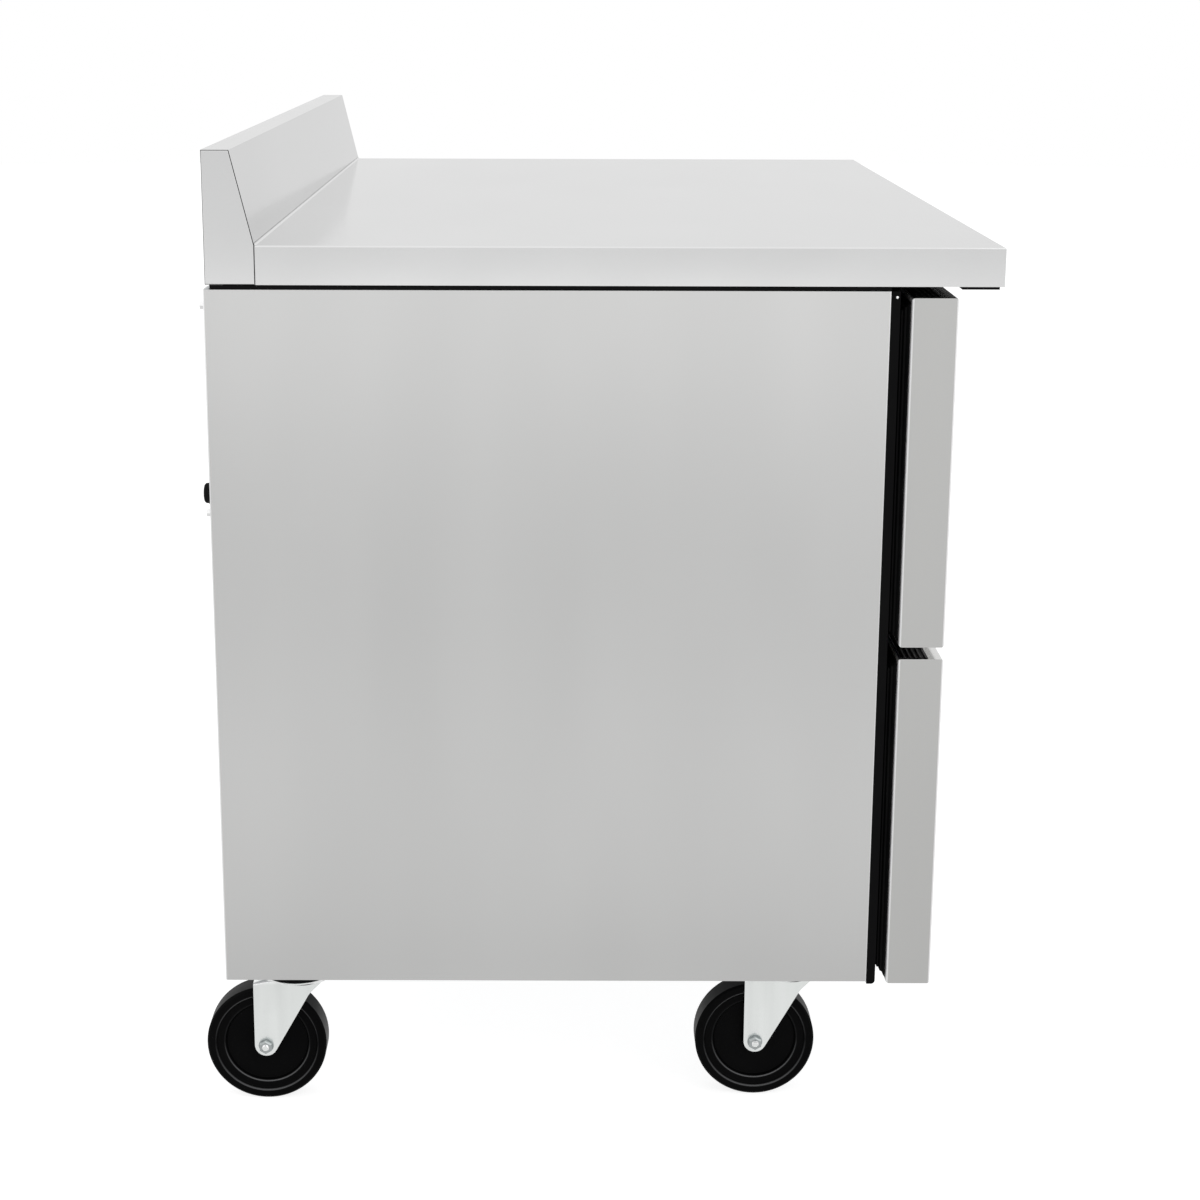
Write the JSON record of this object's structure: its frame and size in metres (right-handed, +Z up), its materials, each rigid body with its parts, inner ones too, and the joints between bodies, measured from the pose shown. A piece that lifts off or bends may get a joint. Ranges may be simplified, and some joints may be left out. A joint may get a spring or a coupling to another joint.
{
  "type": "worktop refrigerator",
  "caption": "Stainless worktop refrigerator on swivel casters, with a rear splash and cold drawers that slide out on telescopic rails.",
  "frame": {"origin": "on the floor, under the centre of the part's outline seen from above", "axes": "+X to the right for a person facing the drawers, +Y to the rear, +Z up; the drawers open towards -Y"},
  "size_m": [1.224, 0.7968, 1.0036],
  "materials": {
    "top_steel": "satin stainless steel",
    "body_steel": "satin stainless steel",
    "liner_steel": "satin stainless steel",
    "galvanised": "galvanised sheet",
    "slide_steel": "satin stainless steel",
    "foam": "foamed polyurethane",
    "board_black": "black faced foam board",
    "frame_black": "satin black moulding",
    "gasket_black": "soft black seal",
    "strip_black": "matte black strip",
    "fin_metal": "plain aluminium fins",
    "motor_black": "black enamel",
    "fan_blades": "plain aluminium",
    "compressor_black": "gloss black enamel",
    "copper": "drawn copper",
    "tray_steel": "galvanised sheet",
    "controller_shell": "dark grey moulding",
    "bumper_rubber": "black rubber",
    "zinc": "bright zinc plate",
    "wheel_black": "hard gloss black tread"
  },
  "bodies": {
    "cabinet": {"worktop_skin": "top_steel", "worktop_core": "board_black", "backsplash": "top_steel", "splash_end_caps": "top_steel", "closure_strip": "strip_black", "nosing_strip": "strip_black", "side_panel_left": "body_steel", "side_panel_right": "body_steel", "back_panel": "galvanised", "base_pan": "galvanised", "cabinet_liner": "liner_steel", "foam_insulation": "foam", "face_frame": "frame_black", "slide_posts": "slide_steel", "cabinet_rails": "slide_steel", "rear_grille": "galvanised", "condenser_coil": "fin_metal", "condenser_duct": "galvanised", "evaporator_coil": "fin_metal", "evaporator_housing": "liner_steel", "fan_motors": "motor_black", "compressor": "compressor_black", "refrigerant_lines": "copper", "condensate_tray": "tray_steel", "temperature_controller": "controller_shell", "rear_bumpers": "bumper_rubber", "rear_screws": "zinc", "caster_bolts": "zinc", "caster_plates": "zinc"},
    "drawer_lower_left": {"drawer_skin_lower_left": "body_steel", "drawer_core_lower_left": "foam", "drawer_gasket_lower_left": "gasket_black", "pan_cradle_lower_left": "slide_steel"},
    "slide_lower_left": {"slide_members_lower_left": "slide_steel"},
    "drawer_upper_left": {"drawer_skin_upper_left": "body_steel", "drawer_core_upper_left": "foam", "drawer_gasket_upper_left": "gasket_black", "pan_cradle_upper_left": "slide_steel"},
    "slide_upper_left": {"slide_members_upper_left": "slide_steel"},
    "drawer_lower_right": {"drawer_skin_lower_right": "body_steel", "drawer_core_lower_right": "foam", "drawer_gasket_lower_right": "gasket_black", "pan_cradle_lower_right": "slide_steel"},
    "slide_lower_right": {"slide_members_lower_right": "slide_steel"},
    "drawer_upper_right": {"drawer_skin_upper_right": "body_steel", "drawer_core_upper_right": "foam", "drawer_gasket_upper_right": "gasket_black", "pan_cradle_upper_right": "slide_steel"},
    "slide_upper_right": {"slide_members_upper_right": "slide_steel"},
    "fork_front_left": {"caster_fork_front_left": "zinc"},
    "wheel_front_left": {"caster_wheel_front_left": "wheel_black"},
    "fork_front_right": {"caster_fork_front_right": "zinc"},
    "wheel_front_right": {"caster_wheel_front_right": "wheel_black"},
    "fork_rear_left": {"caster_fork_rear_left": "zinc"},
    "wheel_rear_left": {"caster_wheel_rear_left": "wheel_black"},
    "fork_rear_right": {"caster_fork_rear_right": "zinc"},
    "wheel_rear_right": {"caster_wheel_rear_right": "wheel_black"},
    "condenser_fan": {"condenser_fan": "fan_blades"},
    "evaporator_fan": {"evaporator_fan": "fan_blades"}
  },
  "joints": [
    {"name": "drawer_pull_lower_left", "type": "slide", "parent": "cabinet", "child": "drawer_lower_left", "axis": [0, -1, 0], "range_m": [0, 0.4]},
    {"name": "slide_travel_lower_left", "type": "slide", "parent": "cabinet", "child": "slide_lower_left", "axis": [0, -1, 0], "range_m": [0, 0.2]},
    {"name": "drawer_pull_upper_left", "type": "slide", "parent": "cabinet", "child": "drawer_upper_left", "axis": [0, -1, 0], "range_m": [0, 0.4]},
    {"name": "slide_travel_upper_left", "type": "slide", "parent": "cabinet", "child": "slide_upper_left", "axis": [0, -1, 0], "range_m": [0, 0.2]},
    {"name": "drawer_pull_lower_right", "type": "slide", "parent": "cabinet", "child": "drawer_lower_right", "axis": [0, -1, 0], "range_m": [0, 0.4]},
    {"name": "slide_travel_lower_right", "type": "slide", "parent": "cabinet", "child": "slide_lower_right", "axis": [0, -1, 0], "range_m": [0, 0.2]},
    {"name": "drawer_pull_upper_right", "type": "slide", "parent": "cabinet", "child": "drawer_upper_right", "axis": [0, -1, 0], "range_m": [0, 0.4]},
    {"name": "slide_travel_upper_right", "type": "slide", "parent": "cabinet", "child": "slide_upper_right", "axis": [0, -1, 0], "range_m": [0, 0.2]},
    {"name": "swivel_front_left", "type": "hinge", "parent": "cabinet", "child": "fork_front_left", "pos_m": [-0.513, -0.21857, 0.139], "axis": [0, 0, 1], "continuous": true},
    {"name": "roll_front_left", "type": "hinge", "parent": "fork_front_left", "child": "wheel_front_left", "pos_m": [-0.513, -0.18507, 0.0635], "axis": [1, 0, 0], "continuous": true},
    {"name": "swivel_front_right", "type": "hinge", "parent": "cabinet", "child": "fork_front_right", "pos_m": [0.513, -0.21857, 0.139], "axis": [0, 0, 1], "continuous": true},
    {"name": "roll_front_right", "type": "hinge", "parent": "fork_front_right", "child": "wheel_front_right", "pos_m": [0.513, -0.18507, 0.0635], "axis": [1, 0, 0], "continuous": true},
    {"name": "swivel_rear_left", "type": "hinge", "parent": "cabinet", "child": "fork_rear_left", "pos_m": [-0.526, 0.30142, 0.139], "axis": [0, 0, 1], "continuous": true},
    {"name": "roll_rear_left", "type": "hinge", "parent": "fork_rear_left", "child": "wheel_rear_left", "pos_m": [-0.526, 0.33492, 0.0635], "axis": [1, 0, 0], "continuous": true},
    {"name": "swivel_rear_right", "type": "hinge", "parent": "cabinet", "child": "fork_rear_right", "pos_m": [0.526, 0.30142, 0.139], "axis": [0, 0, 1], "continuous": true},
    {"name": "roll_rear_right", "type": "hinge", "parent": "fork_rear_right", "child": "wheel_rear_right", "pos_m": [0.526, 0.33492, 0.0635], "axis": [1, 0, 0], "continuous": true},
    {"name": "condenser_fan_spin", "type": "hinge", "parent": "cabinet", "child": "condenser_fan", "pos_m": [-0.25, 0.2336, 0.3202], "axis": [0, 1, 0], "continuous": true},
    {"name": "evaporator_fan_spin", "type": "hinge", "parent": "cabinet", "child": "evaporator_fan", "pos_m": [0, 0.1838, 0.7212], "axis": [0, 1, 0], "continuous": true}
  ],
  "couplings": [
    {"joint": "slide_travel_lower_left", "follows": "drawer_pull_lower_left", "ratio": 0.5},
    {"joint": "slide_travel_upper_left", "follows": "drawer_pull_upper_left", "ratio": 0.5},
    {"joint": "slide_travel_lower_right", "follows": "drawer_pull_lower_right", "ratio": 0.5},
    {"joint": "slide_travel_upper_right", "follows": "drawer_pull_upper_right", "ratio": 0.5}
  ]
}
